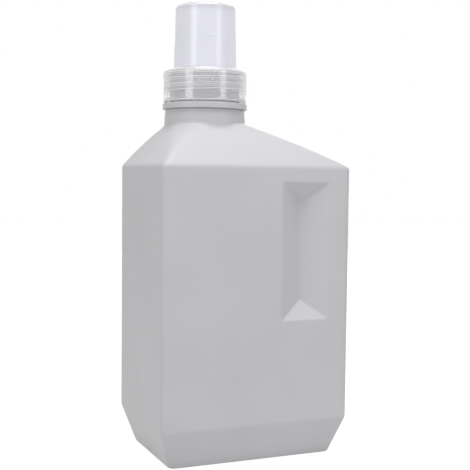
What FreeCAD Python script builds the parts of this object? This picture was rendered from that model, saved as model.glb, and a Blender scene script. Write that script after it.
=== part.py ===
"""Square-shouldered laundry liquid bottle with a measuring cap.

Three pieces: the blow-moulded bottle, the drain-back pour spout pressed into
its neck, and the screw cap whose raised middle is the measuring cup. Millimetres,
+Z up, the origin at the middle of the base, the grip recesses on -Y and +Y and
the neck shifted towards -X.
"""
import FreeCAD, Part
import math
import os
import Sketcher

doc = FreeCAD.newDocument("laundry_bottle")

# ---------------------------------------------------------------- the sizes
SIZES = [
    # bottle shell
    ("body_width", 110.0),            # along X
    ("body_depth", 76.4),             # along Y
    ("corner_radius", 3.2),           # upright corners
    ("shell_wall", 1.2),              # blow-moulded wall
    ("foot_height", 21.0),            # height of the bevel round the foot
    ("foot_inset", 7.2),              # how far the foot is set in, per side
    ("foot_round", 1.5),              # soft edge the bottle stands on
    ("push_up", 2.6),                 # height of the hollow under the base
    ("standing_ring", 6.0),           # width of the ring it stands on
    ("seam_length", 58.0),            # pinch-off weld under the base
    ("seam_width", 1.8),
    ("seam_height", 0.9),
    ("pinch_width", 1.4),             # groove for the weld's ends, across the ring
    ("pinch_depth", 0.7),
    ("pinch_rise", 6.0),              # where the groove runs out on the bevel
    # shoulder
    ("shoulder_height", 161.2),       # level of the shoulder's edge
    ("shoulder_rise", 24.2),          # from that edge to the shoulder's top
    ("shoulder_soft", 1.4),           # how far its softness reaches up and down
    ("shoulder_top", 38.6),           # side of the soft square at the top
    ("shoulder_top_radius", 17.0),
    ("shoulder_middle_radius", 6.6),  # hip radius half way up
    ("crown_left", 0.2),              # bulge of each facet half way up
    ("crown_right", 0.7),
    ("crown_front", 0.5),
    # neck
    ("neck_shift", 17.7),             # neck axis, from the middle towards -X
    ("neck_length", 7.0),             # from the shoulder's top to the collar
    ("neck_root_round", 1.2),
    ("neck_wall", 1.5),
    ("neck_bury", 3.0),               # depth of the neck's root under the facets
    ("collar_proud", 0.2),            # of the cap that sits above it
    ("collar_step", 0.95),            # from the collar in to the neck's root
    ("neck_draft", 0.55),             # loss of neck radius up to the collar
    ("collar_thickness", 3.2),
    ("relief_height", 0.8),           # fine groove right under the collar
    ("relief_depth", 0.5),
    ("finish_radius", 19.4),          # root of the thread
    ("finish_wall", 1.4),
    ("finish_height", 15.8),          # from the collar to the rim
    # grip recess, an upside-down hipped roof sunk into each broad side
    ("grip_shift", 27.4),             # its middle, from the bottle's middle
    ("grip_level", 115.0),            # height of its middle
    ("grip_width", 28.5),
    ("grip_height", 75.4),
    ("grip_depth", 6.8),
    ("valley_length", 54.5),
    ("valley_width", 0.8),
    # pour spout
    ("spout_clearance", 0.05),        # round the plug in the neck
    ("spout_wall", 1.0),
    ("plug_length", 12.0),
    ("flange_thickness", 1.0),
    ("trough_wall", 1.1),
    ("trough_low", 1.6),              # trough floor above the plug's end, at +X
    ("trough_fall", 3.6),             # how much higher the floor is at -X
    ("channel_radius", 12.4),         # outside of the spout at its root
    ("channel_tip_radius", 11.2),     # outside of the spout at its lip
    ("lip_height", 20.6),             # lip above the flange
    ("lip_flat", 2.4),                # length of the level tip of the lip
    ("lip_back", 3.0),                # height of the low side above the flange
    ("lip_sweep", 40.0),              # radius of the scooped cut
    ("slot_width", 5.0),              # drain-back slot
    ("slot_sill", 0.6),
    # measuring cap
    ("cap_gap", 0.8),                 # between the collar and the skirt
    ("thread_space", 2.2),            # between the finish and the skirt
    ("cap_wall", 1.7),
    ("deck_thickness", 1.7),
    ("cup_wall", 1.6),
    ("cup_top_wall", 1.3),
    ("cup_height", 35.9),             # from the deck to the top
    ("cup_taper", 0.9),               # loss of radius over that height
    ("cup_round", 2.3),
    ("deck_round", 2.0),
    ("cup_root_round", 1.2),
    ("ring_clearance", 0.3),          # between the sealing ring and the plug
    ("ring_wall", 0.9),
    ("ring_lift", 0.7),               # between that ring and the trough below it
    ("gate_radius", 1.6),
    ("gate_depth", 0.3),
]

# Sizes that follow from the ones above.
DERIVED = [
    ("shoulder_top_level", "shoulder_height + shoulder_rise"),
    ("shoulder_middle_level", "shoulder_height + shoulder_rise / 2"),
    ("shoulder_left", "(body_width / 2 + neck_shift + shoulder_top / 2) / 2 + crown_left"),
    ("shoulder_right", "(body_width / 2 - neck_shift + shoulder_top / 2) / 2 + crown_right"),
    ("shoulder_middle_width", "shoulder_left + shoulder_right"),
    ("shoulder_middle_depth", "(body_depth + shoulder_top) / 2 + 2 * crown_front"),
    ("roof_drop", "0.7 * shell_wall"),
    ("edge_left", "shoulder_soft * (body_width - 2 * shoulder_left) / shoulder_rise"),
    ("edge_right", "shoulder_soft * (body_width - 2 * shoulder_right) / shoulder_rise"),
    ("edge_front", "shoulder_soft * (body_depth - shoulder_middle_depth) / shoulder_rise"),
    ("edge_growth", "2 * shoulder_soft * (shoulder_middle_radius - corner_radius)"
                    " / shoulder_rise"),
    ("shoulder_run", "min(body_depth / 2; body_width / 2 - neck_shift) - shoulder_top / 2"),
    ("collar_level", "shoulder_top_level + neck_length"),
    ("finish_level", "collar_level + collar_thickness"),
    ("rim_level", "finish_level + finish_height"),
    ("neck_bore", "finish_radius - finish_wall"),
    ("cap_bore", "finish_radius + thread_space"),
    ("cap_radius", "cap_bore + cap_wall"),
    ("collar_radius", "cap_radius + collar_proud"),
    ("neck_radius", "collar_radius - collar_step"),
    ("neck_foot", "shoulder_top_level - neck_bury"
                  " - shoulder_rise * (neck_radius - shoulder_top / 2) / shoulder_run"),
    ("plug_radius", "neck_bore - spout_clearance"),
    ("plug_bore", "plug_radius - spout_wall"),
    ("plug_level", "rim_level - plug_length"),
    ("flange_level", "rim_level + flange_thickness"),
    ("cap_level", "finish_level + cap_gap"),
    ("deck_level", "flange_level + deck_thickness"),
    ("ring_level", "plug_level + trough_low + trough_fall + trough_wall + ring_lift"),
    ("cap_top", "deck_level + cup_height"),
    ("ring_radius", "plug_bore - ring_clearance"),
    ("ring_bore", "ring_radius - ring_wall"),
    ("cup_radius", "ring_bore + cup_wall"),
    ("cup_tip_radius", "cup_radius - cup_taper"),
]


def fill_sheet():
    """Put every driving size and every derived one in the spreadsheet."""
    sheet = doc.addObject("Spreadsheet::Sheet", "sizes")
    rows = [(alias, str(value)) for alias, value in SIZES]
    rows += [(alias, "=" + formula) for alias, formula in DERIVED]
    for row, (alias, content) in enumerate(rows, start=1):
        sheet.set(f"A{row}", alias)
        sheet.set(f"B{row}", content)
        sheet.setAlias(f"B{row}", alias)
    doc.recompute()
    return sheet


sheet = fill_sheet()


# ------------------------------------------------------------ small helpers
def bound(formula):
    """Point every alias in a formula at the spreadsheet."""
    words = sorted((alias for alias, _ in SIZES + DERIVED), key=len, reverse=True)
    out, i = "", 0
    while i < len(formula):
        word = next((w for w in words if formula.startswith(w, i)), None)
        out += f"sizes.{word}" if word else formula[i]
        i += len(word) if word else 1
    return out


def value(formula):
    """The number that a formula of sheet aliases gives now."""
    return float(sheet.evalExpression(bound(formula)))


def body(label):
    made = doc.addObject("PartDesign::Body", label)
    made.Label = label
    return made


def plane(owner, role):
    return next(o for o in owner.Origin.OriginFeatures if o.Role == role)


def sketch(owner, name, role, across="0", up="0", out="0"):
    """A sketch on an origin plane, shifted by formulas along its own axes."""
    made = owner.newObject("Sketcher::SketchObject", name)
    made.AttachmentSupport = [(plane(owner, role), "")]
    made.MapMode = "FlatFace"
    for axis, formula in (("x", across), ("y", up), ("z", out)):
        if formula != "0":
            made.setExpression(f"AttachmentOffset.Base.{axis}", bound(formula))
    doc.recompute()
    return made


def rounded_rectangle(made, width, height, radius):
    """A rectangle with equal round corners, centred on the sketch's origin."""
    w, h, r = value(width) / 2, value(height) / 2, value(radius)
    normal = FreeCAD.Vector(0, 0, 1)
    corners = [(w - r, h - r, 0), (r - w, h - r, 90), (r - w, r - h, 180), (w - r, r - h, 270)]
    for x, y, start in corners:
        circle = Part.Circle(FreeCAD.Vector(x, y, 0), normal, r)
        made.addGeometry(Part.ArcOfCircle(circle, math.radians(start), math.radians(start + 90)))
    for i in range(4):
        end = made.Geometry[i].EndPoint
        start = made.Geometry[(i + 1) % 4].StartPoint
        made.addGeometry(Part.LineSegment(end, start))
    for i in range(4):
        made.addConstraint(Sketcher.Constraint("Tangent", i, 2, 4 + i, 1))
        made.addConstraint(Sketcher.Constraint("Tangent", 4 + i, 2, (i + 1) % 4, 1))
        made.addConstraint(Sketcher.Constraint("Vertical" if i % 2 else "Horizontal", 4 + i))
    for i in range(1, 4):
        made.addConstraint(Sketcher.Constraint("Equal", 0, i))
    made.addConstraint(Sketcher.Constraint("Symmetric", 0, 3, 2, 3, -1, 1))
    dimension(made, Sketcher.Constraint("Radius", 0, r), radius)
    dimension(made, Sketcher.Constraint("DistanceX", 5, 1, 7, 1, 2 * w), width)
    dimension(made, Sketcher.Constraint("DistanceY", 6, 1, 4, 1, 2 * h), height)


def rectangle(made, width, height):
    """A sharp rectangle, centred on the sketch's origin."""
    w, h = value(width) / 2, value(height) / 2
    corners = [FreeCAD.Vector(x, y, 0) for x, y in ((-w, -h), (w, -h), (w, h), (-w, h))]
    sides = [made.addGeometry(Part.LineSegment(corners[i], corners[(i + 1) % 4]))
             for i in range(4)]
    for i, side in enumerate(sides):
        made.addConstraint(Sketcher.Constraint("Coincident", side, 2, sides[(i + 1) % 4], 1))
        made.addConstraint(Sketcher.Constraint("Vertical" if i % 2 else "Horizontal", side))
    low, right, high, _ = sides
    made.addConstraint(Sketcher.Constraint("Symmetric", low, 1, high, 1, -1, 1))
    dimension(made, Sketcher.Constraint("DistanceX", low, 1, low, 2, 2 * w), width)
    dimension(made, Sketcher.Constraint("DistanceY", right, 1, right, 2, 2 * h), height)


def dimension(made, constraint, formula):
    index = made.addConstraint(constraint)
    made.setExpression(f"Constraints[{index}]", bound(formula))


def circle(made, radius):
    made.addGeometry(Part.Circle(FreeCAD.Vector(0, 0, 0), FreeCAD.Vector(0, 0, 1), value(radius)))
    made.addConstraint(Sketcher.Constraint("Coincident", 0, 3, -1, 1))
    dimension(made, Sketcher.Constraint("Radius", 0, value(radius)), radius)


def outline(made, corners):
    """A closed outline of straight sides; each corner is a pair of formulas."""
    points = [FreeCAD.Vector(value(x), value(y), 0) for x, y in corners]
    count = len(points)
    for i in range(count):
        made.addGeometry(Part.LineSegment(points[i], points[(i + 1) % count]))
    for i in range(count):
        made.addConstraint(Sketcher.Constraint("Coincident", i, 2, (i + 1) % count, 1))
    for i, (x, y) in enumerate(corners):
        if x == "0":
            made.addConstraint(Sketcher.Constraint("PointOnObject", i, 1, -2))
        else:
            place = Sketcher.Constraint("DistanceX", -1, 1, i, 1, points[i].x)
            dimension(made, place, x)
        place = Sketcher.Constraint("DistanceY", -1, 1, i, 1, points[i].y)
        dimension(made, place, y)


def loft(owner, name, kind, sections, ruled=False):
    made = owner.newObject(f"PartDesign::{kind}Loft", name)
    made.Profile = sections[0]
    made.Sections = sections[1:]
    made.Ruled = ruled
    doc.recompute()
    return made


def extrude(owner, name, kind, profile, length, midplane=False, reverse=False):
    """A Pad or a Pocket; both are checked for having changed the volume."""
    before = 0 if owner.Shape.isNull() else owner.Shape.Volume
    made = owner.newObject(f"PartDesign::{kind}", name)
    made.Profile = profile
    made.Midplane = midplane
    made.Reversed = reverse
    made.setExpression("Length", bound(length))
    doc.recompute()
    if abs(owner.Shape.Volume - before) < 1e-3:
        raise RuntimeError(f"{name} changes nothing")
    return made


def turn(owner, name, kind, profile):
    """A Revolution or a Groove, full turn about the profile's upright axis."""
    made = owner.newObject(f"PartDesign::{kind}", name)
    made.Profile = profile
    made.ReferenceAxis = (profile, ["V_Axis"])
    made.Angle = 360
    doc.recompute()
    return made


def fillet(owner, name, radius, wanted):
    """Round the edges of the body's tip that the test picks out."""
    tip = owner.Tip
    names = [f"Edge{i}" for i, e in enumerate(tip.Shape.Edges, start=1) if wanted(e)]
    if not names:
        raise RuntimeError(f"{name} finds no edge")
    made = owner.newObject("PartDesign::Fillet", name)
    made.Base = (tip, names)
    made.setExpression("Radius", bound(radius))
    doc.recompute()
    return made


def bevel(owner, name, rise, inset, wanted):
    """A two-distance chamfer: the rise on the upright faces, the inset below."""
    tip = owner.Tip
    names = [f"Edge{i}" for i, e in enumerate(tip.Shape.Edges, start=1) if wanted(e)]
    made = owner.newObject("PartDesign::Chamfer", name)
    made.Base = (tip, names)
    made.ChamferType = "Two distances"
    made.setExpression("Size", bound(rise))
    made.setExpression("Size2", bound(inset))
    doc.recompute()
    return made


def level(edge, formula):
    """Whether an edge lies flat at one level."""
    box = edge.BoundBox
    z = value(formula)
    return abs(box.ZMin - z) < 1e-3 and abs(box.ZMax - z) < 1e-3


def ring(edge, radius, height):
    """Whether an edge is the circle of that radius at that level."""
    curve = edge.Curve
    round_one = isinstance(curve, Part.Circle) and abs(curve.Radius - value(radius)) < 1e-3
    return round_one and level(edge, height)


# ---------------------------------------------------------------- the bottle
def shell(owner, skin, drop, floor):
    """Walls, bevelled foot and lofted shoulder, set in from the outside by a skin."""
    plan = sketch(owner, "Plan", "XY_Plane", out=floor)
    rectangle(plan, f"body_width - 2 * {skin}", f"body_depth - 2 * {skin}")
    extrude(owner, "Walls", "Pad", plan,
            f"shoulder_height - shoulder_soft - {drop} - {floor}")
    bevel(owner, "Foot", f"foot_height - {floor}",
          f"foot_inset * (foot_height - {floor}) / foot_height",
          lambda e: level(e, floor))
    fillet(owner, "Corners", f"corner_radius - {skin}", lambda e: e.BoundBox.ZLength > 1)

    low, edge, high = [shoulder_edge(owner, name, skin, drop, share) for name, share in
                       (("EdgeLow", -1), ("Edge", 0), ("EdgeHigh", 1))]
    loft(owner, "SoftEdge", "Additive", [low, edge, high])

    middle = section(owner, "Middle", f"shoulder_middle_width - 2 * {skin}",
                     f"shoulder_middle_depth - 2 * {skin}", f"shoulder_middle_radius - {skin}",
                     "(shoulder_right - shoulder_left) / 2", f"shoulder_middle_level - {drop}")
    top = section(owner, "Top", f"shoulder_top - 2 * {skin}", f"shoulder_top - 2 * {skin}",
                  f"shoulder_top_radius - {skin}", "0 - neck_shift",
                  f"shoulder_top_level - {drop}")
    loft(owner, "Shoulder", "Additive", [high, middle, top])


def shoulder_edge(owner, name, skin, drop, share):
    """An outline at the shoulder's edge: below it (-1), on it (0) or above it (1).

    The three lie on a parabola that leaves the wall upright and meets the facet
    at the facet's own slope, so on the edge itself the inset is a quarter.
    """
    inset = {-1: "0", 0: "1 / 4", 1: "1"}[share]
    return section(owner, name,
                   f"body_width - (edge_left + edge_right) * {inset} - 2 * {skin}",
                   f"body_depth - 2 * edge_front * {inset} - 2 * {skin}",
                   f"corner_radius + edge_growth * {inset} - {skin}",
                   f"(edge_left - edge_right) * {inset} / 2",
                   f"shoulder_height + {share} * shoulder_soft - {drop}")


def section(owner, name, width, depth, radius, middle, height):
    """One level outline of the shoulder."""
    made = sketch(owner, name, "XY_Plane", across=middle, out=height)
    rounded_rectangle(made, width, depth, radius)
    return made


def grip(owner, skin):
    """Sink the hipped hollow into the front and mirror it to the back.

    With a skin it cuts the hollow's lining out of the cavity.
    """
    mouth = sketch(owner, "GripMouth", "XZ_Plane", across="grip_shift", up="grip_level",
                   out="body_depth / 2")
    rectangle(mouth, f"grip_width + 2 * {skin}", f"grip_height + 2 * {skin}")
    valley = sketch(owner, "GripValley", "XZ_Plane", across="grip_shift", up="grip_level",
                    out=f"body_depth / 2 - grip_depth - {skin}")
    rectangle(valley, f"valley_width + 2 * {skin}", f"valley_length + 2 * {skin}")
    hollow = loft(owner, "Grip", "Subtractive", [mouth, valley], ruled=True)
    both = owner.newObject("PartDesign::Mirrored", "GripPair")
    both.Originals = [hollow]
    both.MirrorPlane = (plane(owner, "XZ_Plane"), [""])
    owner.Tip = both
    doc.recompute()


def base_hollow(owner, skin):
    """Push the middle of the base up, leaving the ring that the bottle stands on."""
    made = sketch(owner, "BaseHollow", "XY_Plane")
    rounded_rectangle(made, f"body_width - 2 * foot_inset - 2 * standing_ring + 2 * {skin}",
                      f"body_depth - 2 * foot_inset - 2 * standing_ring + 2 * {skin}",
                      "corner_radius + shell_wall")
    extrude(owner, "PushUp", "Pocket", made, f"push_up + {skin}", reverse=True)


def build_cavity():
    """The inside of the bottle, as a solid of its own."""
    cavity = body("cavity")
    shell(cavity, "shell_wall", "roof_drop", "shell_wall")
    profile = sketch(cavity, "BoreProfile", "XZ_Plane", across="0 - neck_shift")
    outline(profile, [
        ("0", "neck_foot"),
        ("neck_radius - neck_wall", "neck_foot"),
        ("neck_radius - neck_wall", "shoulder_top_level + neck_root_round"),
        ("neck_radius - neck_draft - neck_wall", "collar_level - neck_wall"),
        ("neck_bore", "finish_level"),
        ("neck_bore", "rim_level + 1"),
        ("0", "rim_level + 1"),
    ])
    turn(cavity, "Bore", "Revolution", profile)
    grip(cavity, "shell_wall")
    base_hollow(cavity, "shell_wall")
    return cavity


def build_bottle():
    """One blow-moulded shell: body, neck, collar, plain finish, grips and base."""
    bottle = body("bottle")
    shell(bottle, "0", "0", "0")
    profile = sketch(bottle, "NeckProfile", "XZ_Plane", across="0 - neck_shift")
    outline(profile, [
        ("0", "neck_foot"),
        ("neck_radius", "neck_foot"),
        ("neck_radius", "shoulder_top_level + neck_root_round"),
        ("neck_radius - neck_draft", "collar_level - relief_height"),
        ("neck_radius - neck_draft - relief_depth", "collar_level - relief_height"),
        ("neck_radius - neck_draft - relief_depth", "collar_level"),
        ("collar_radius", "collar_level"),
        ("collar_radius", "finish_level"),
        ("finish_radius", "finish_level"),
        ("finish_radius", "rim_level"),
        ("0", "rim_level"),
    ])
    turn(bottle, "Neck", "Revolution", profile)
    fillet(bottle, "FootEdge", "foot_round", lambda e: level(e, "0"))
    fillet(bottle, "NeckRoot", "neck_root_round", at_neck_root)
    grip(bottle, "0")
    base_hollow(bottle, "0")
    for side in ("", "0 - "):
        pinch_groove(bottle, side)
    return bottle


def pinch_groove(owner, side):
    """The groove for one end of the weld, across the ring and out up the bevel."""
    foot = "body_width / 2 - foot_inset"
    made = sketch(owner, "PinchEnd", "XZ_Plane")
    outline(made, [(f"{side}({x})", z) for x, z in (
        (f"{foot} - standing_ring - 1", "0 - 1"),
        (f"{foot} - standing_ring - 1", "pinch_depth"),
        (f"{foot} - pinch_depth", "pinch_depth"),
        (f"{foot} + foot_inset * pinch_rise / foot_height", "pinch_rise"),
        (f"{foot} + foot_inset * pinch_rise / foot_height", "0 - 1"),
    )])
    extrude(owner, "PinchGroove", "Pocket", made, "pinch_width", midplane=True)


def at_neck_root(edge):
    """Whether an edge is where the neck rises out of the shoulder."""
    reach = math.hypot(edge.CenterOfMass.x + value("neck_shift"), edge.CenterOfMass.y)
    on_neck = all(abs(math.hypot(v.X + value("neck_shift"), v.Y) - value("neck_radius")) < 1e-3
                  for v in edge.Vertexes)
    below = edge.BoundBox.ZMax < value("collar_level") - 1e-3
    return on_neck and below and reach > value("neck_radius") / 4 and edge.Length > 3


def seam(owner):
    """The pinch-off weld left by the mould's halves across the base hollow."""
    made = sketch(owner, "SeamPlan", "XY_Plane", out="push_up")
    rectangle(made, "seam_length", "seam_width")
    extrude(owner, "Seam", "Pad", made, "seam_height", reverse=True)


# ----------------------------------------------------------- the pour spout
def build_spout():
    """Plug, sloping drain-back trough and scooped channel, all about the neck axis."""
    spout = body("pour_spout")

    slope = sketch(spout, "TroughProfile", "XZ_Plane", across="0 - neck_shift - plug_bore")
    outline(slope, [
        ("0", "plug_level + trough_low + trough_fall"),
        ("2 * plug_bore", "plug_level + trough_low"),
        ("2 * plug_bore", "plug_level + trough_low + trough_wall"),
        ("0", "plug_level + trough_low + trough_fall + trough_wall"),
    ])
    extrude(spout, "Trough", "Pad", slope, "2 * plug_bore", midplane=True)
    rim = sketch(spout, "TroughTrim", "XY_Plane", across="0 - neck_shift", out="plug_level")
    circle(rim, "plug_bore + spout_wall / 2")
    rectangle(rim, "4 * plug_bore", "4 * plug_bore")
    extrude(spout, "TroughRim", "Pocket", rim, "plug_length", reverse=True)

    profile = sketch(spout, "PlugProfile", "XZ_Plane", across="0 - neck_shift")
    outline(profile, [
        ("plug_bore", "plug_level"),
        ("plug_radius - spout_wall / 2", "plug_level"),
        ("plug_radius", "plug_level + spout_wall"),
        ("plug_radius", "rim_level"),
        ("finish_radius", "rim_level"),
        ("finish_radius", "flange_level"),
        ("plug_bore", "flange_level"),
    ])
    turn(spout, "Plug", "Revolution", profile)

    channel(spout, "Channel", "Additive", "channel_radius", "channel_tip_radius")
    lip_cut(spout)
    channel(spout, "ChannelBore", "Subtractive", "channel_radius - spout_wall",
            "channel_tip_radius - spout_wall")

    slot = sketch(spout, "SlotPlan", "XY_Plane", across="channel_radius - neck_shift",
                  out="plug_level + trough_low + trough_wall + slot_sill")
    rectangle(slot, "4 * spout_wall", "slot_width")
    extrude(spout, "Slot", "Pocket", slot, "plug_length + lip_height", reverse=True)
    return spout


def channel(owner, name, kind, root, tip):
    """The tapered channel, or its bore."""
    low = sketch(owner, f"{name}Root", "XY_Plane", across="0 - neck_shift", out="plug_level")
    circle(low, root)
    high = sketch(owner, f"{name}Tip", "XY_Plane", across="0 - neck_shift",
                  out="flange_level + lip_height")
    circle(high, tip)
    loft(owner, name, kind, [low, high])


def lip_cut(owner):
    """Scoop the channel's top away from its tip at -X down to its low side."""
    made = sketch(owner, "LipProfile", "XZ_Plane", across="0 - neck_shift - channel_radius",
                  up="flange_level")
    tip = FreeCAD.Vector(value("lip_flat + channel_radius - channel_tip_radius"),
                         value("lip_height"), 0)
    back = FreeCAD.Vector(value("2 * channel_radius + 1"), value("lip_back"), 0)
    clear = value("lip_height + 2")
    half = (back - tip) * 0.5
    radius = value("lip_sweep")
    up = FreeCAD.Vector(-half.y, half.x, 0).normalize()
    middle = tip + half + up * math.sqrt(radius ** 2 - half.Length ** 2)
    start = math.atan2(tip.y - middle.y, tip.x - middle.x)
    end = math.atan2(back.y - middle.y, back.x - middle.x)
    high_back = FreeCAD.Vector(back.x, clear, 0)
    high_tip = FreeCAD.Vector(tip.x, clear, 0)
    made.addGeometry(
        Part.ArcOfCircle(Part.Circle(middle, FreeCAD.Vector(0, 0, 1), radius), start, end))
    made.addGeometry(Part.LineSegment(back, high_back))
    made.addGeometry(Part.LineSegment(high_back, high_tip))
    made.addGeometry(Part.LineSegment(high_tip, tip))
    for i in range(4):
        made.addConstraint(Sketcher.Constraint("Coincident", i, 2, (i + 1) % 4, 1))
    for side, lie in ((1, "Vertical"), (2, "Horizontal"), (3, "Vertical")):
        made.addConstraint(Sketcher.Constraint(lie, side))
    dimension(made, Sketcher.Constraint("DistanceX", -1, 1, 0, 1, tip.x),
              "lip_flat + channel_radius - channel_tip_radius")
    dimension(made, Sketcher.Constraint("DistanceY", -1, 1, 0, 1, tip.y), "lip_height")
    dimension(made, Sketcher.Constraint("DistanceX", -1, 1, 0, 2, back.x),
              "2 * channel_radius + 1")
    dimension(made, Sketcher.Constraint("DistanceY", -1, 1, 0, 2, back.y), "lip_back")
    dimension(made, Sketcher.Constraint("DistanceY", -1, 1, 2, 1, clear), "lip_height + 2")
    dimension(made, Sketcher.Constraint("Radius", 0, radius), "lip_sweep")
    extrude(owner, "Lip", "Pocket", made, "4 * channel_radius", midplane=True)


# -------------------------------------------------------- the measuring cap
def build_cap():
    """Skirt, deck, sealing ring and cup, turned as one thin moulding."""
    cap = body("measuring_cap")
    profile = sketch(cap, "CapProfile", "XZ_Plane", across="0 - neck_shift")
    outline(profile, [
        ("cap_bore + cap_wall / 4", "cap_level"),
        ("cap_radius", "cap_level"),
        ("cap_radius", "deck_level"),
        ("cup_radius", "deck_level"),
        ("cup_tip_radius", "cap_top"),
        ("gate_radius", "cap_top"),
        ("gate_radius", "cap_top - gate_depth"),
        ("0", "cap_top - gate_depth"),
        ("0", "cap_top - cup_top_wall"),
        ("cup_tip_radius - cup_top_wall", "cap_top - cup_top_wall"),
        ("ring_bore", "ring_level"),
        ("ring_radius - ring_wall / 2", "ring_level"),
        ("ring_radius", "ring_level + ring_wall"),
        ("ring_radius", "flange_level"),
        ("cap_bore", "flange_level"),
        ("cap_bore", "cap_level + cap_wall"),
    ])
    turn(cap, "Cap", "Revolution", profile)
    fillet(cap, "DeckEdge", "deck_round", lambda e: ring(e, "cap_radius", "deck_level"))
    fillet(cap, "CupRoot", "cup_root_round", lambda e: ring(e, "cup_radius", "deck_level"))
    fillet(cap, "CupEdge", "cup_round", lambda e: ring(e, "cup_tip_radius", "cap_top"))
    fillet(cap, "CupFloor", "cup_round - cup_top_wall",
           lambda e: ring(e, "cup_tip_radius - cup_top_wall", "cap_top - cup_top_wall"))
    return cap


# ---------------------------------------------------------- build and write
def check_document():
    """Stop if any object failed to compute."""
    for made in doc.Objects:
        if "Invalid" in made.State or "Error" in made.State:
            raise RuntimeError(f"{made.Name} failed: {made.getStatusString()}")


def write(piece):
    """Write one sub-part as the STEP file that its label names."""
    shape = piece.Shape
    if shape.isNull() or not shape.isValid() or len(shape.Solids) != 1:
        raise RuntimeError(f"{piece.Label} is not one valid solid")
    shape.exportStep(f"parts/{piece.Label}.step")
    box = shape.BoundBox
    print(f"{piece.Label}: {shape.Volume / 1000:.1f} cm3,",
          f"{box.XLength:.1f} x {box.YLength:.1f} x {box.ZLength:.1f} mm,",
          f"top at {box.ZMax:.1f}")


cavity = build_cavity()
bottle = build_bottle()
capacity = cavity.Shape.Volume / 1000
hollow = bottle.newObject("PartDesign::Boolean", "Hollow")
hollow.setObjects([cavity])
hollow.Type = "Cut"
doc.recompute()
seam(bottle)
spout = build_spout()
cap = build_cap()
check_document()

os.makedirs("parts", exist_ok=True)
print(f"brimful capacity {capacity:.0f} ml")
for piece in (bottle, spout, cap):
    write(piece)
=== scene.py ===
# %% [markdown]
# # A laundry liquid bottle with a measuring cap
#
# This lesson builds the looks of a blow-moulded bottle, its pour spout and its
# translucent measuring cap. The measured model comes first as a fixed frame, so
# every surface here is worked out in that frame's millimetres and only turned
# into metres when it becomes a mesh.

import math

import bpy
import numpy as np
from mathutils import Matrix, Vector


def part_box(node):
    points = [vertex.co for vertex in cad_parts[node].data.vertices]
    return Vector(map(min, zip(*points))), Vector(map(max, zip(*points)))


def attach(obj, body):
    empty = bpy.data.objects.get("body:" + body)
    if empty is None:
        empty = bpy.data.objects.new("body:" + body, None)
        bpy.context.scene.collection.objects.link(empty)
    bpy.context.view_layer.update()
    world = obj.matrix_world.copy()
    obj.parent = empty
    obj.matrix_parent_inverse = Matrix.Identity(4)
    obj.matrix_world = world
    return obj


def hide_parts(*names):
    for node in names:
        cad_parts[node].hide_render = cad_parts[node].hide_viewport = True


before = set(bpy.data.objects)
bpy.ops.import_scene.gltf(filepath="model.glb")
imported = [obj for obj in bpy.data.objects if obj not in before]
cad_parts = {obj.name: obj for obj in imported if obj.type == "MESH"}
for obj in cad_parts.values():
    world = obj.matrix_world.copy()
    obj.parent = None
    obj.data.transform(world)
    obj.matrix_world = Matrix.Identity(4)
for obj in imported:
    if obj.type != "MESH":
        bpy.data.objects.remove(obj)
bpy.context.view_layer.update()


def box_mm(node):
    """A node's lowest and highest corner in millimetres."""
    low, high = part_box(node)
    return np.array(low) * 1000, np.array(high) * 1000


bottle_low, bottle_high = box_mm("bottle")
cap_low, cap_high = box_mm("measuring_cap")
axis_x = (cap_low[0] + cap_high[0]) / 2
print("bottle", bottle_high - bottle_low, "neck axis at x", round(axis_x, 2))

# %% [markdown]
# A mesh is only points and faces. Every piece below ends as one array of points
# and a few arrays of faces, so one function hands them to Blender. Shapes that
# leave some points of a grid unused are cleaned here too: the points that no
# face names are dropped and the rest are renumbered.

# %% From arrays to a mesh
def make_piece(name, points, faces, material, body):
    """A smooth mesh object at the origin, from points in millimetres."""
    used, flat = np.unique(np.concatenate([f.ravel() for f in faces]), return_inverse=True)
    lengths = np.concatenate([np.full(len(f), f.shape[1]) for f in faces])
    mesh = bpy.data.meshes.new(name)
    mesh.vertices.add(len(used))
    mesh.vertices.foreach_set("co", (points[used] / 1000).ravel())
    mesh.loops.add(len(flat))
    mesh.loops.foreach_set("vertex_index", flat.ravel())
    mesh.polygons.add(len(lengths))
    mesh.polygons.foreach_set("loop_start", np.cumsum(lengths) - lengths)
    mesh.update(calc_edges=True)
    mesh.polygons.foreach_set("use_smooth", np.ones(len(lengths), bool))
    mesh.materials.append(material)
    piece = bpy.data.objects.new(name, mesh)
    bpy.context.scene.collection.objects.link(piece)
    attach(piece, body)
    report_closed(name, piece)
    return piece


def report_closed(name, piece):
    """Print a mesh's triangles, its volume and its open edges.

    The volume is a sixth of the sum of each triangle's triple product, and it is
    positive only when the faces point outwards. An edge is closed when it is
    walked once each way.
    """
    mesh = piece.data
    mesh.calc_loop_triangles()
    places = np.empty(len(mesh.vertices) * 3)
    mesh.vertices.foreach_get("co", places)
    triangles = np.empty(len(mesh.loop_triangles) * 3, int)
    mesh.loop_triangles.foreach_get("vertices", triangles)
    triangles = triangles.reshape(-1, 3)
    a, b, c = places.reshape(-1, 3)[triangles].transpose(1, 0, 2)
    volume = np.einsum("ij,ij->i", a, np.cross(b, c)).sum() / 6 * 1e6
    start, end = triangles.ravel(), np.roll(triangles, -1, axis=1).ravel()
    there, times = np.unique(start * len(places) + end, return_counts=True)
    back = np.unique(end * len(places) + start)
    open_edges = len(np.setdiff1d(there, back)) + int((times > 1).sum())
    print(f"{name}: {len(triangles)} triangles, {volume:.1f} cm3, {open_edges} open edges")


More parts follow.
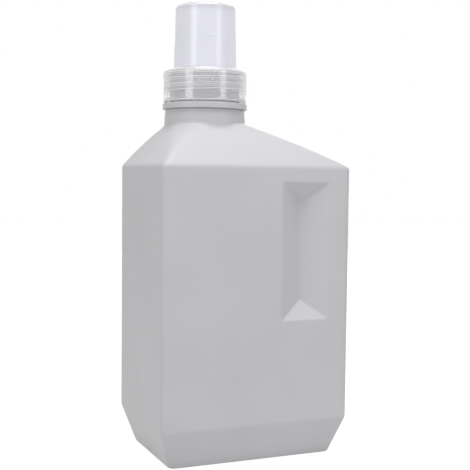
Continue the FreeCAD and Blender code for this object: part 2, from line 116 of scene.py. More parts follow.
def grid_faces(rows, columns, start=0, closed=True):
    """Quads between neighbouring rows and columns of a grid of points.

    The order is along the row, then to the next row, so a grid whose rows climb
    and whose columns run anticlockwise from above faces outwards.
    """
    around = columns if closed else columns - 1
    i, j = np.meshgrid(np.arange(rows - 1), np.arange(around), indexing="ij")
    k = (j + 1) % columns
    return start + np.stack([i * columns + j, i * columns + k,
                             (i + 1) * columns + k, (i + 1) * columns + j], -1)

# %% [markdown]
# The camera comes before the shapes, so that every later step can be judged from
# the same place. It stands a little left of the bottle, above half its height,
# and looks almost level through a long lens, which keeps the upright edges
# nearly parallel.

# %% Set the camera
bottle_middle = Vector((0, 0, 0.12))
camera_place = Vector((-0.21128, -0.49877, 0.15529))
yaw, pitch, roll = math.radians(23.11), math.radians(3.5), math.radians(0.63)
ahead = Vector((math.sin(yaw) * math.cos(pitch), math.cos(yaw) * math.cos(pitch),
                -math.sin(pitch)))
level = Vector((math.cos(yaw), -math.sin(yaw), 0))
above = level.cross(ahead)
right = level * math.cos(roll) + above * math.sin(roll)
up = above * math.cos(roll) - level * math.sin(roll)

camera_lens = bpy.data.cameras.new("camera")
camera_lens.sensor_width = 36
camera_lens.lens = 72.72
camera = bpy.data.objects.new("camera", camera_lens)
camera.matrix_world = Matrix((right, up, -ahead)).transposed().to_4x4()
camera.location = camera_place
bpy.context.scene.collection.objects.link(camera)
bpy.context.scene.camera = camera
print("camera is", round((camera_place - bottle_middle).length, 3), "m away")

# %% [markdown]
# A finish is a small tree of nodes. One function adds a node with its settings
# and links, another turns the hex colours that people read into the linear
# numbers that a shader adds up, and two more make the nodes that come up most:
# a sum on two numbers, and a ramp of colours or numbers.

# %% Helpers for the finishes
def linear(hex_colour):
    """Linear red, green, blue and a full alpha from an sRGB hex colour.

    Below 0.04045 a channel is divided by 12.92, and above it is
    ((channel + 0.055) / 1.055) to the power 2.4.
    """
    s = np.array([int(hex_colour[i:i + 2], 16) for i in (1, 3, 5)]) / 255
    return (*np.where(s > 0.04045, ((s + 0.055) / 1.055) ** 2.4, s / 12.92), 1.0)


def add_node(tree, kind, settings=None, inputs=None):
    """One node: settings are its own properties, inputs are values or links."""
    node = tree.nodes.new(kind)
    for name, value in (settings or {}).items():
        setattr(node, name, value)
    for name, value in (inputs or {}).items():
        if isinstance(value, bpy.types.NodeSocket):
            tree.links.new(value, node.inputs[name])
        else:
            node.inputs[name].default_value = value
    return node


def maths(tree, operation, first, second):
    """The result of one operation on two numbers, each a link or a value."""
    return add_node(tree, "ShaderNodeMath", {"operation": operation},
                    {0: first, 1: second}).outputs["Value"]


def ramp(tree, share, stops):
    """A ramp's result at a share from 0 to 1, from rising stops of (share, value).

    A value is a colour or one number, and it holds beyond the first and last stop.
    """
    node = add_node(tree, "ShaderNodeValToRGB", {}, {"Fac": share})
    stop = node.color_ramp.elements
    stop.remove(stop[1])
    stop[0].position = stops[0][0]
    stop[0].color = np.broadcast_to(stops[0][1], 4)
    for position, value in stops[1:]:
        stop.new(position).color = np.broadcast_to(value, 4)
    return node.outputs["Color"]


def new_finish(name):
    """An empty material and its node tree, with only the output left in it."""
    finish = bpy.data.materials.new(name)
    finish.use_nodes = True
    tree = finish.node_tree
    tree.nodes.clear()
    output = tree.nodes.new("ShaderNodeOutputMaterial")
    return finish, tree, output

# %% [markdown]
# The bottle is blow-moulded polyethylene, HDPE: a soft tube of plastic is blown
# against a sand-blasted mould, so the skin copies that fine blasting and comes
# out satin, with broad soft highlights. The plastic cools unevenly, which leaves
# the flat walls very slightly wavy. The finish draws three scales: the blasted
# grain, the waves of the wall, and a faint drift in the colour.

# %% Blow-moulded HDPE
def blow_moulded_hdpe():
    """Satin light grey, with blasted grain and a slow wave in the wall."""
    finish, tree, output = new_finish("blow_moulded_hdpe")
    place = add_node(tree, "ShaderNodeTexCoord").outputs["Object"]
    # a noise of scale 1 / s repeats about every s metres: 0.6 mm, 28 mm and 45 mm
    grain = add_node(tree, "ShaderNodeTexNoise", {}, {
        "Vector": place, "Scale": 1 / 0.0006, "Detail": 2.0, "Roughness": 0.55})
    wave = add_node(tree, "ShaderNodeTexNoise", {}, {
        "Vector": place, "Scale": 1 / 0.028, "Detail": 1.0, "Roughness": 0.4})
    drift = add_node(tree, "ShaderNodeTexNoise", {}, {
        "Vector": place, "Scale": 1 / 0.045, "Detail": 3.0, "Roughness": 0.5})
    colour = ramp(tree, drift.outputs["Fac"], (
        (0.3, linear("#C8C7C9")), (0.7, linear("#CDCCCE"))))
    satin = add_node(tree, "ShaderNodeMapRange", {}, {
        "Value": grain.outputs["Fac"], "To Min": 0.42, "To Max": 0.52})
    waves = add_node(tree, "ShaderNodeBump", {}, {
        "Height": wave.outputs["Fac"], "Strength": 0.25, "Distance": 0.0004})
    blasted = add_node(tree, "ShaderNodeBump", {}, {
        "Height": grain.outputs["Fac"], "Strength": 0.15, "Distance": 0.00003,
        "Normal": waves.outputs["Normal"]})
    skin = add_node(tree, "ShaderNodeBsdfPrincipled", {}, {
        "Base Color": colour, "Roughness": satin.outputs["Result"],
        "Normal": blasted.outputs["Normal"], "IOR": 1.54})
    tree.links.new(skin.outputs["BSDF"], output.inputs["Surface"])
    return finish


hdpe = blow_moulded_hdpe()

# %% [markdown]
# The screw thread is one helix, which the neck's ridge, the cap's ridge and the
# cap's finish all follow. It is fixed by its pitch and by the height at which one
# crest of the neck's ridge crosses the front, in millimetres. The cap's ridge
# runs half a pitch lower, in the neck's grooves.

# %% The helix
helix_pitch, helix_front = 3.3, 200.9
ridge_half_width, flank_width = 1.0, 0.35

# %% [markdown]
# The cap is injection-moulded clarified polypropylene, PP. The thicker and the
# duller it is, the milkier it looks, so how clear it is changes with the height:
# the skirt shows the neck behind it, the deck is cloudier, and the cup lets
# almost nothing through. Three more things move the balance:
#
# - seen along the wall, near the outline, the light has more plastic to cross, so
#   it is milkier there;
# - the flanks of the ridge inside the skirt get bright lines of painted highlight,
#   milkier where the light would gather, the upper flank more than the lower, and
#   they climb with the helix;
# - the gloss is taken away towards the outline, a painted dark reflection that
#   stands in for dark cards on both sides of the set, because a mirror of the
#   white backdrop would eat the edge.

# %% Clarified PP
def painted_ridge_highlights(tree, place, height):
    """The share of clearness left along the flanks of the cap's ridge, which paints
    highlight lines there.

    The height above the helix's start in pitches, less the turns walked round the
    axis, has the same fraction all along the helix. The ridge's crest is at 0.5,
    its lower flank at 0.25 and the bright side of its upper one at 0.59.
    """
    x, y, _ = add_node(tree, "ShaderNodeSeparateXYZ", {}, {"Vector": place}).outputs
    angle = maths(tree, "ARCTAN2", y, maths(tree, "SUBTRACT", x, axis_x / 1000))
    turns = maths(tree, "DIVIDE", angle, 2 * math.pi)
    climb = maths(tree, "SUBTRACT", height, helix_front / 1000)
    climb = maths(tree, "DIVIDE", climb, helix_pitch / 1000)
    phase = maths(tree, "ADD", maths(tree, "SUBTRACT", climb, turns), 0.75)
    painted_flank_highlights = ramp(tree, maths(tree, "FRACT", phase, 0.0), (
        (0.19, 1), (0.25, 0.45), (0.31, 1), (0.49, 1), (0.59, 0.25), (0.69, 1)))
    # the ridge, and so its painted highlight lines, ends above 201.5 mm
    return add_node(tree, "ShaderNodeMapRange", {}, {
        "Value": height, "From Min": 0.2015, "From Max": 0.2022, "To Min": 1.0,
        "To Max": painted_flank_highlights}).outputs["Result"]


def clarified_pp():
    """Milky cup and clear skirt with a cool cast, faint flow streaks, painted highlight lines on
    the ridge, and a gloss painted away at the outline.
    """
    finish, tree, output = new_finish("clarified_pp")
    place = add_node(tree, "ShaderNodeTexCoord").outputs["Object"]
    # flow streaks, 4 mm wide and drawn out eight times upwards
    flow = add_node(tree, "ShaderNodeMapping", {}, {
        "Vector": place, "Location": (-axis_x / 1000, 0, 0), "Scale": (1, 1, 0.12)})
    streak = add_node(tree, "ShaderNodeTexNoise", {}, {
        "Vector": flow.outputs["Vector"], "Scale": 1 / 0.004, "Detail": 2.0,
        "Roughness": 0.5})
    ripple = add_node(tree, "ShaderNodeBump", {}, {
        "Height": streak.outputs["Fac"], "Strength": 0.06, "Distance": 0.0001})
    shade = add_node(tree, "ShaderNodeMapRange", {}, {
        "Value": streak.outputs["Fac"], "From Min": 0.25, "From Max": 0.75, "To Min": 0.975})

    height = add_node(tree, "ShaderNodeSeparateXYZ", {}, {"Vector": place}).outputs["Z"]
    foot, span = 195, 60
    up_the_cap = add_node(tree, "ShaderNodeMapRange", {}, {
        "Value": height, "From Min": foot / 1000, "From Max": (foot + span) / 1000})
    skirt, deck, cup = linear("#FAFAFC"), linear("#F3F3F8"), linear("#F3F3FD")
    # what changes with the height, as (millimetres, value)
    levels = {
        "colour": ((212, skirt), (213.5, deck), (215, deck), (216, cup), (245, cup),
                   (249, deck)),
        "clearness": ((196.8, 0.6), (198, 0.86), (202, 0.86), (204, 0.66), (211, 0.66),
                      (213, 0.36), (215, 0.36), (216, 0.05), (245, 0.05), (249.5, 0.6)),
        "haze": ((212, 0.08), (216, 0.35))}
    by_height = {
        trait: ramp(tree, up_the_cap.outputs["Result"],
                    [((level - foot) / span, value) for level, value in stops])
        for trait, stops in levels.items()}
    colour = add_node(tree, "ShaderNodeMixRGB", {"blend_type": "MULTIPLY"}, {
        "Fac": 1.0, "Color1": by_height["colour"], "Color2": shade.outputs["Result"]})

    # 0 where the surface faces the eye, 1 where it is seen along itself
    facing = add_node(tree, "ShaderNodeLayerWeight", {}, {"Blend": 0.5}).outputs["Facing"]

    def towards_outline(start, end, facing_value, outline_value):
        """A number that runs from one value to another as the surface turns away."""
        return add_node(tree, "ShaderNodeMapRange", {}, {
            "Value": facing, "From Min": start, "From Max": end,
            "To Min": facing_value, "To Max": outline_value}).outputs["Result"]

    # the milkier outline times the painted highlight lines along the ridge's flanks
    outline_milkiness_and_painted_lines = maths(tree, "MULTIPLY", towards_outline(0.35, 0.75, 1.0, 0.5),
                  painted_ridge_highlights(tree, place, height))
    # the gloss taken away towards the outline is a painted dark reflection of cards that the set
    # doesn't have
    skin = add_node(tree, "ShaderNodeBsdfPrincipled", {}, {
        "Base Color": colour.outputs["Color"], "Roughness": by_height["haze"],
        "IOR": 1.49, "Specular IOR Level": towards_outline(0.5, 0.9, 0.5, 0.0),
        "Transmission Weight": maths(tree, "MULTIPLY", by_height["clearness"], outline_milkiness_and_painted_lines),
        "Coat Weight": towards_outline(0.5, 0.9, 1.0, 0.0),
        "Coat Roughness": 0.12, "Coat IOR": 1.49, "Coat Normal": ripple.outputs["Normal"]})
    tree.links.new(skin.outputs["BSDF"], output.inputs["Surface"])
    return finish


pp = clarified_pp()

# %% [markdown]
# The pour spout is natural polyethylene, LDPE: waxy, milky white, a little see
# through and soft to the nail. Its surface is plain moulded, with a dull gloss.

# %% Natural LDPE
def natural_ldpe():
    """Milky white with a waxy dull gloss."""
    finish, tree, output = new_finish("natural_ldpe")
    place = add_node(tree, "ShaderNodeTexCoord").outputs["Object"]
    cloud = add_node(tree, "ShaderNodeTexNoise", {}, {
        "Vector": place, "Scale": 1 / 0.006, "Detail": 3.0, "Roughness": 0.5})
    colour = ramp(tree, cloud.outputs["Fac"], ((0, linear("#EFEFEE")), (1, linear("#F4F4F3"))))
    waxy = add_node(tree, "ShaderNodeBump", {}, {
        "Height": cloud.outputs["Fac"], "Strength": 0.2, "Distance": 0.0001})
    skin = add_node(tree, "ShaderNodeBsdfPrincipled", {}, {
        "Base Color": colour, "Roughness": 0.3,
        "Normal": waxy.outputs["Normal"], "IOR": 1.51, "Transmission Weight": 0.35})
    tree.links.new(skin.outputs["BSDF"], output.inputs["Surface"])
    return finish


ldpe = natural_ldpe()

# %% [markdown]
# Every moulding has soft corners, because a sharp one would tear or chill. So a
# profile is written as its sharp corners with a radius each, and one function
# turns it into points. Long straight runs can be cut into short steps, where a
# thread or a bend needs them.

# %% Profiles with soft corners
def rounded(corners, steps=6):
    """Points along a profile whose corners turn on circles of their own radius.

    Each corner is (across, up, radius). The circle's centre lies on the corner's
    bisector, radius / sin(half angle) away, and the arc's points swing evenly
    from one side's touching point to the other's. A corner without a radius, or
    one that hardly turns, stays a point.
    """
    c = np.array(corners, float)
    found = [c[:1, :2]]
    for before, at, after in zip(c[:-2], c[1:-1], c[2:]):
        a = (before - at)[:2] / np.linalg.norm((before - at)[:2])
        b = (after - at)[:2] / np.linalg.norm((after - at)[:2])
        half = np.arccos(np.clip(a @ b, -1, 1)) / 2
        if at[2] == 0 or half > 1.55:
            found.append(at[None, :2])
            continue
        middle = at[:2] + (a + b) / np.linalg.norm(a + b) * at[2] / np.sin(half)
        start, end = (at[:2] + side * at[2] / np.tan(half) - middle for side in (a, b))
        swing, turn = np.linspace(0, 1, steps)[:, None], np.pi - 2 * half
        found.append(middle + (np.sin((1 - swing) * turn) * start
                               + np.sin(swing * turn) * end) / np.sin(turn))
    found.append(c[-1:, :2])
    return np.concatenate(found)


def in_steps(profile, longest):
    """The profile with points added so that no step is longer than that."""
    lengths = np.linalg.norm(np.diff(profile, axis=0), axis=1)
    parts = np.maximum(np.ceil(lengths / longest), 1).astype(int)
    at = np.concatenate([i + np.arange(n) / n for i, n in enumerate(parts)]
                        + [[len(parts)]])
    return np.stack([np.interp(at, np.arange(len(profile)), column)
                     for column in profile.T], 1)

# %% [markdown]
# The bottle's plan at any height is a rectangle with round corners. Written as a
# walk of eight legs, four straight runs and four quarter turns, it is one formula
# that works on whole arrays, and the same walk at every height gives rows of
# points that line up. The columns are close together in the corners and at the
# middle of each narrow side, where the mould's two halves meet.

# %% The walk round the bottle
def walk(left, right, front, radius, way):
    """A level outline with round corners, walked anticlockwise.

    way counts the legs: front run, corner, right run, corner, back run, corner,
    left run, corner. The point is the start at the front left plus the finished
    share of each leg's own step.
    """
    part = [np.clip(way - leg, 0, 1) for leg in range(8)]
    turn = [np.pi / 2 * p for p in part]
    wide, deep = right - left - 2 * radius, 2 * (front - radius)
    x = left + radius + wide * (part[0] - part[4]) + radius * (
        np.sin(turn[1]) + np.cos(turn[3]) - np.sin(turn[5]) - np.cos(turn[7]))
    y = -front + deep * (part[2] - part[6]) + radius * (
        np.sin(turn[3]) - np.cos(turn[1]) + np.cos(turn[5]) - np.sin(turn[7]))
    return x, y


front_steps, corner_steps, wall_steps = 44, 8, 46
half_side = np.linspace(0, 0.47, 14)
beside_weld = np.array([-1.3, -0.7, -0.35, 0, 0.35, 0.7, 1.3]) / 70
side_share = np.concatenate([half_side, 0.5 + beside_weld, 1 - half_side[::-1]])
side_steps = len(side_share) - 1
legs = [np.arange(front_steps) / front_steps, np.arange(corner_steps) / corner_steps,
        side_share[:-1], np.arange(corner_steps) / corner_steps] * 2
wall_way = np.concatenate([leg + share for leg, share in enumerate(legs)])
columns = len(wall_way)
weld_column = front_steps + corner_steps + side_steps // 2
print("columns", columns, "weld at", wall_way[weld_column])

# %% [markdown]
# The sizes of the bottle, in millimetres. The foot is bevelled on all four
# sides, the walls are upright, and above the shoulder's edge four facets climb
# to a soft square round the neck. The neck stands off the middle, so each facet
# has its own slope.

# %% The bottle's sizes
half_wide, half_deep = bottle_high[0], bottle_high[1]
wall, corner = 1.2, 3.2
foot_height, foot_inset, base_ring, push_up = 21.0, 7.2, 6.0, 2.6
pinch_depth, pinch_rise = 0.7, 6.0
edge_level, edge_soft, top_level = 161.2, 1.4, 185.4
roof_drop = 0.7 * wall
neck_radius, neck_tip_radius, neck_wall, neck_blend = 22.55, 22.0, 1.5, 1.3
collar_radius, finish_radius, bore_radius = 23.5, 19.4, 18.0
collar_level, finish_level, rim_level = 192.4, 195.6, bottle_high[2]
relief = 0.5                     # the fine groove under the collar, both ways

# level, left, right, front, corner radius at three heights of the shoulder
shoulder_marks = np.array([
    [edge_level + edge_soft, -half_wide + 1.018, half_wide - 3.008, half_deep - 1.0355, 3.59],
    [(edge_level + top_level) / 2, -46.2, 29.0, 29.25, 6.6],
    [top_level, axis_x - 19.3, axis_x + 19.3, 19.3, 17.0]])


def plan_at(z):
    """Left, right, front and corner radius of the outside at each height.

    Above the soft edge each one is the parabola through its three marks. Across
    the edge the inset grows with the square of the height, from nothing at the
    wall to the first mark. Below, it is the wall itself.
    """
    z = np.asarray(z, float)[:, None]
    low, middle, high = shoulder_marks[:, 0]
    m = shoulder_marks[:, 1:]
    facet = (m[0] * (z - middle) * (z - high) / ((low - middle) * (low - high))
             + m[1] * (z - low) * (z - high) / ((middle - low) * (middle - high))
             + m[2] * (z - low) * (z - middle) / ((high - low) * (high - middle)))
    plain = np.array([-half_wide, half_wide, half_deep, corner])
    share = np.clip((z - edge_level + edge_soft) / (2 * edge_soft), 0, 1) ** 2
    return np.where(z > low, facet, plain + (m[0] - plain) * share)

# %% [markdown]
# Where the facets meet the round neck, both are asked how far they reach from
# the neck's axis, and the further one wins. A plain maximum would leave a sharp
# crease, so the two are blended over about a millimetre, as the mould's maker
# does with a ball cutter. Up there the columns also slide from their crowded
# places in the corners to even ones round the neck.

# %% From facets to neck
def further(a, b, width):
    """The larger of two numbers, with a soft step where they are close.

    It adds a quarter of the width times the square of how close they are.
    """
    near = np.clip(1 - np.abs(a - b) / width, 0, 1)
    return np.maximum(a, b) + width / 4 * near ** 2


def smooth_step(x):
    """Three times the square less twice the cube, from 0 to 1."""
    x = np.clip(x, 0, 1)
    return x * x * (3 - 2 * x)


even_angle = 2 * np.pi * (np.arange(columns) - weld_column) / columns
# the way round the shoulder's top at each even angle, read from a fine table
fine_way = np.linspace(0, 8, 4001)[:-1]
top_x, top_y = walk(*shoulder_marks[2, 1:], fine_way)
top_angle = np.unwrap(np.arctan2(top_y, top_x - axis_x))
top_angle -= 2 * np.pi * np.round(top_angle[len(top_angle) // 4] / (2 * np.pi))
turns = np.concatenate([top_angle - 2 * np.pi, top_angle, top_angle + 2 * np.pi])
ways = np.concatenate([fine_way - 8, fine_way, fine_way + 8])
neck_way = np.interp(even_angle, turns, ways)
slide_start, slide_height, neck_start = 164, 19, edge_level + 6


def shoulder_rows(z, skin, drop):
    """Rows of points over the walls, the facets and the foot of the neck.

    skin is how far the surface lies inside the outside, and drop how far below
    it on the facets. Near the top the columns slide to even angles.
    """
    z = np.asarray(z, float)
    left, right, front, radius = (plan_at(z + drop) + [skin, -skin, -skin, -skin]).T[..., None]
    slide = smooth_step((z - slide_start) / slide_height)[:, None]
    way = (wall_way + (neck_way - wall_way) * slide) % 8
    x, y = walk(left, right, front, np.maximum(radius, 1.0), way)
    reach = np.hypot(x - axis_x, y)
    lifted = further(reach, neck_radius - (neck_wall if skin else 0), neck_blend)
    grown = np.where(z[:, None] > neck_start, lifted / reach, 1)
    x, y = axis_x + (x - axis_x) * grown, y * grown
    return np.stack([x, y, np.broadcast_to(z[:, None], x.shape)], -1)


def turned_rows(profile):
    """Rows of points of a profile turned about the neck's axis."""
    r, z = profile.T[..., None]
    x, y = axis_x + r * np.cos(even_angle), r * np.sin(even_angle)
    return np.stack([x, y, np.broadcast_to(z, x.shape)], -1)


def foot_rows(profile, skin=0.0):
    """Rows of points of a profile of (inset, height) carried round the plan.

    Past the bevel the corners grow rounder by a fifth of the way in.
    """
    inset, z = profile.T[..., None]
    radius = np.maximum(corner - skin + 0.2 * np.clip(inset - foot_inset, 0, None), 1.0)
    x, y = walk(-half_wide + inset, half_wide - inset, half_deep - inset, radius, wall_way)
    return np.stack([x, y, np.broadcast_to(z, x.shape)], -1)

# %% [markdown]
# A thread is a ridge that climbs one pitch in each turn. As a height on the
# finish it needs no sweep: the distance of each point from the nearest turn of
# the helix decides how far it stands out, and the ridge fades in and out at its
# two ends. The same function makes the cap's thread, half a pitch lower and
# standing inwards, so the two interlock.

# %% The screw thread
def thread(angle, z, first, last, lower=0.0):
    """How far a thread stands out at each angle and height, from 0 to 1.

    The phase is the height above the helix in pitches. The ridge is a flat crest
    with sloping flanks. It fades over a third of a turn at both ends, where the
    helix itself passes the first and the last height.
    """
    turn = (angle + np.pi / 2) / (2 * np.pi)
    phase = (z - helix_front + lower) / helix_pitch - turn
    off = np.abs(phase - np.round(phase)) * helix_pitch
    on_turn = helix_front + (np.round(phase) + turn) * helix_pitch
    run_out = helix_pitch / 3
    fade = smooth_step((on_turn - first) / run_out) * smooth_step((last - on_turn) / run_out)
    return smooth_step((ridge_half_width - off) / flank_width) * fade

# %% [markdown]
# Some parts of the skin aren't rows round an axis: the floor of the hollow under
# the base, and the grip sunk into each broad side. Those start from a hole in the
# grid. Rings of points shrink from the hole's rim towards its middle, and a net
# stretched over the last ring closes it. The net is a Coons patch: the sum of the
# two ways across, less what both count at the corners.

# %% Rings and nets
def net(ring, across, along):
    """Points inside a closed ring, as a grid that starts and ends on the ring.

    With u across and v along, each point is the blend of the two sides in v plus
    the blend of the two ends in u, less the blend of the four corners.
    """
    near = ring[:across + 1]
    end = ring[across:across + along + 1]
    far = ring[across + along:2 * across + along + 1][::-1]
    start = np.concatenate([ring[2 * across + along:], ring[:1]])[::-1]
    u = np.linspace(0, 1, across + 1)[None, :, None]
    v = np.linspace(0, 1, along + 1)[:, None, None]
    sides = (1 - v) * near[None] + v * far[None]
    ends = (1 - u) * start[:, None] + u * end[:, None]
    corners = ((1 - u) * (1 - v) * near[0] + u * (1 - v) * near[-1]
               + (1 - u) * v * far[0] + u * v * far[-1])
    return sides + ends - corners


def close_ring(points, ring, across, along):
    """Fill a ring of point numbers with a net; new points go to the end.

    Returns the points, the faces and the numbers of the net's inner points. The
    faces look where a ring that runs anticlockwise is seen from.
    """
    inside = net(points[ring], across, along)[1:-1, 1:-1]
    number = np.empty((along + 1, across + 1), int)
    number[0] = ring[:across + 1]
    number[:, -1] = ring[across:across + along + 1]
    number[-1] = ring[across + along:2 * across + along + 1][::-1]
    number[:, 0] = np.concatenate([ring[2 * across + along:], ring[:1]])[::-1]
    number[1:-1, 1:-1] = len(points) + np.arange(inside[..., 0].size).reshape(inside.shape[:2])
    faces = np.stack([number[:-1, :-1], number[:-1, 1:], number[1:, 1:], number[1:, :-1]], -1)
    return (np.concatenate([points, inside.reshape(-1, 3)]), faces.reshape(-1, 4),
            number[1:-1, 1:-1].ravel())

# %% [markdown]
# The grip is an upside-down hipped roof: from a tall mouth four slopes fall to a
# short upright valley. Its rings keep the mouth's proportions on the way down,
# so the slopes stay flat and the hips stay straight. The depth follows the ring,
# with a soft lip at the mouth and a soft fold along the valley, since plastic
# stretched into a mould never reaches a sharp corner.

# %% The grip's rings
grip_x, grip_z, grip_depth = 27.4, 115.0, 6.8
mouth_half, valley_half = np.array([14.25, 37.7]), np.array([0.4, 27.25])
# how far each ring is on its way from the mouth to the valley
lip, fold = 0.045, 0.07
grip_share = np.array([-lip, -0.022, 0, 0.022, lip, 0.2, 0.4, 0.6, 0.8, 1 - fold,
                       0.955, 0.98, 1.0])


def ring_way(across, along, bend=2):
    """The walk's legs for a ring that starts in the middle of a corner."""
    side = [np.concatenate([leg - 0.5 + np.arange(bend) / bend / 2,
                            leg + np.arange(n - 2 * bend) / (n - 2 * bend),
                            leg + 1 + np.arange(bend) / bend / 2])
            for leg, n in ((0, across), (2, along), (4, across), (6, along))]
    return np.concatenate(side) % 8


def grip_rings(across, along, flip_x, flip_z, face_y, skin):
    """Rings of points down the grip's slopes, from the mouth to the valley.

    The half sizes go evenly from the mouth's to the valley's. The depth goes with
    them, along a parabola at the lip and another at the fold.
    """
    s = grip_share[:, None]
    half = mouth_half + skin + (valley_half - mouth_half) * s
    radius = np.clip(1.0 - 0.6 * s, 0.4, None) + skin / 2
    u, v = walk(-half[:, :1], half[:, :1], half[:, 1:], radius, ring_way(across, along))
    deep = np.where(np.abs(s) < lip, (s + lip) ** 2 / (4 * lip), np.maximum(s, 0))
    deep = deep - np.clip(s - 1 + fold, 0, None) ** 2 / (2 * fold)
    inwards = -np.sign(face_y) * (grip_depth * deep + 0 * u)
    return np.stack([grip_x + flip_x * u, face_y + inwards, grip_z + flip_z * v], -1)


def sink_grip(points, hole, across, along, flip_x, flip_z, face_y, skin):
    """Fill a hole in a broad wall with the flat round the grip and the grip."""
    rings = grip_rings(across, along, flip_x, flip_z, face_y, skin)
    over_the_flat = np.array([0.2, 0.45, 0.7, 0.9])[:, None, None]
    flat = points[hole] + (rings[0] - points[hole]) * over_the_flat
    rings = np.concatenate([flat, rings])
    numbers = np.arange(rings[..., 0].size).reshape(len(rings), len(hole))
    numbers = np.vstack([hole, len(points) + numbers])
    points = np.concatenate([points, rings.reshape(-1, 3)])
    a, b = numbers[:-1], numbers[1:]
    faces = np.stack([a, np.roll(a, -1, 1), np.roll(b, -1, 1), b], -1).reshape(-1, 4)
    points, floor, _ = close_ring(points, numbers[-1], across, along)
    return points, [faces, floor]

# %% [markdown]
# Now the whole skin can be laid row by row: out from the hollow under the base,
# up the bevel, the walls and the shoulder, up the neck with its collar and
# thread, over the rim, and down again inside to the floor. It is one closed
# surface, as the blown plastic is, so light and shadow meet no gaps anywhere.

# %% The bottle's outside rows
hollow_rim = foot_inset + base_ring
foot_top = foot_height + 4
foot_profile = in_steps(rounded([
    (hollow_rim + 7, push_up, 0), (hollow_rim + 1.0, push_up, 1.2), (hollow_rim, 0, 0.8),
    (foot_inset, 0, 1.5), (0, foot_height, 9.0), (0, foot_top, 0)], 7), 2.5)
wall_levels = np.linspace(foot_top, edge_level - edge_soft - 1.2, wall_steps + 1)[1:]
edge_levels = edge_level + edge_soft * np.linspace(-1, 1, 9)
near_neck, on_neck = 180.6, 186.2
facet_levels = np.concatenate([np.linspace(edge_levels[-1], near_neck, 16)[1:],
                               np.linspace(near_neck, on_neck, 17)[1:]])
thread_step, bore_seen_to = 0.17, 210.6
neck_profile = in_steps(rounded([
    (neck_radius - 0.05, on_neck + 0.6, 0), (neck_tip_radius, collar_level - relief, 0.1),
    (neck_tip_radius - relief, collar_level - relief, 0.05),
    (neck_tip_radius - relief, collar_level, 0.05),
    (collar_radius, collar_level, 0.15), (collar_radius, finish_level, 0.45),
    (finish_radius, finish_level, 0.5), (finish_radius, rim_level, 0.5),
    (bore_radius, rim_level, 0.3), (bore_radius, bore_seen_to, 0)], 5), thread_step)
neck_profile = np.concatenate([neck_profile, [[bore_radius, finish_level + 1]]])

outside = np.concatenate([
    foot_rows(foot_profile),
    shoulder_rows(np.concatenate([wall_levels, edge_levels, facet_levels]), 0, 0),
    turned_rows(neck_profile)])
outside_rows = len(outside)
wall_start = len(foot_profile) - 1
wall_end = wall_start + wall_steps
print("outside rows", outside_rows, "wall rows", outside[wall_start, 0, 2],
      outside[wall_end, 0, 2])

# %% [markdown]
# Three small marks of the making go on these rows: the thread on the finish,
# the mould's parting line, a raised hair of plastic that runs up the middle of
# both narrow sides and over the shoulder to the collar, and the groove that keeps
# the ends of the base's weld off the table, which crosses the ring and runs out
# on the bevel.

# %% Thread, parting line and pinch groove
x, y, z = (outside[..., axis] for axis in range(3))
thread_height, thread_ends = 1.2, (202.0, 210.2)
on_finish = (z > finish_level + 0.6) & (np.hypot(x - axis_x, y) > finish_radius - 0.01)
ridge = np.where(on_finish, thread_height * thread(even_angle, z, *thread_ends), 0)
x += ridge * np.cos(even_angle)
y += ridge * np.sin(even_angle)

hair_height, hair_width, hair_start = 0.13, 0.42, 6.0
hair = hair_height * np.exp(-(y / hair_width) ** 2)
hair = hair * smooth_step((z - hair_start) / 3) * (z < collar_level - 1)
x += np.where(x > axis_x, hair, -hair)
z += hair * (z > edge_level)

x, y, z = (outside[:len(foot_profile), :, axis] for axis in range(3))
groove_half_width, groove_flank = 0.85, 0.3
groove = pinch_depth * smooth_step((groove_half_width - np.abs(y)) / groove_flank)
outer = foot_profile[:, :1] < foot_inset + base_ring / 2
x -= np.sign(x) * groove * outer * np.clip((pinch_rise - z) / (pinch_rise - pinch_depth), 0, 1)
z[:] = np.maximum(z, groove)

# %% [markdown]
# Inside, the rows come down again one wall further in: the neck's bore, the
# facets, the walls and the floor. On the facets the lining is lowered instead,
# by what keeps the wall's thickness across the slope. Less of it is seen than of
# the outside, so its rows stand further apart.

# %% The bottle's inside rows
inner_neck = in_steps(rounded([
    (bore_radius, finish_level + 0.6, 0), (bore_radius, finish_level, 0.8),
    (neck_radius - neck_wall, collar_level - neck_wall, 0.8),
    (neck_radius - neck_wall, 187, 0)], 4), 3)
lining_top = 157.4
lining_levels = np.linspace(lining_top, foot_top + 1, 34)
inner_levels = np.concatenate([
    np.linspace(top_level, 180, 9), np.linspace(178, 161.8, 8)[:-1],
    edge_level - roof_drop + edge_soft * np.linspace(1, -1, 5), lining_levels])
inner_foot = in_steps(rounded([
    (wall, foot_top, 0), (wall, foot_height, 6), (foot_inset + wall * 0.6, wall, 1.0),
    (hollow_rim - wall, wall, 0.6), (hollow_rim - wall + 0.6, push_up + wall, 0.6),
    (hollow_rim + 7, push_up + wall, 0)], 4), 6)
inside = np.concatenate([turned_rows(inner_neck), shoulder_rows(inner_levels, wall, roof_drop),
                         foot_rows(inner_foot, wall)])
lining_start = outside_rows + len(inner_neck) + len(inner_levels) - len(lining_levels)
print("inside rows", len(inside))

# %% [markdown]
# The four holes for the grips are cut out of the grid's faces, two outside and
# two in the lining, and each gets its own rings. The floor inside and the hollow
# outside are closed with nets, and the pinch-off weld, where the mould squeezed
# the tube shut, stands on the outer one.

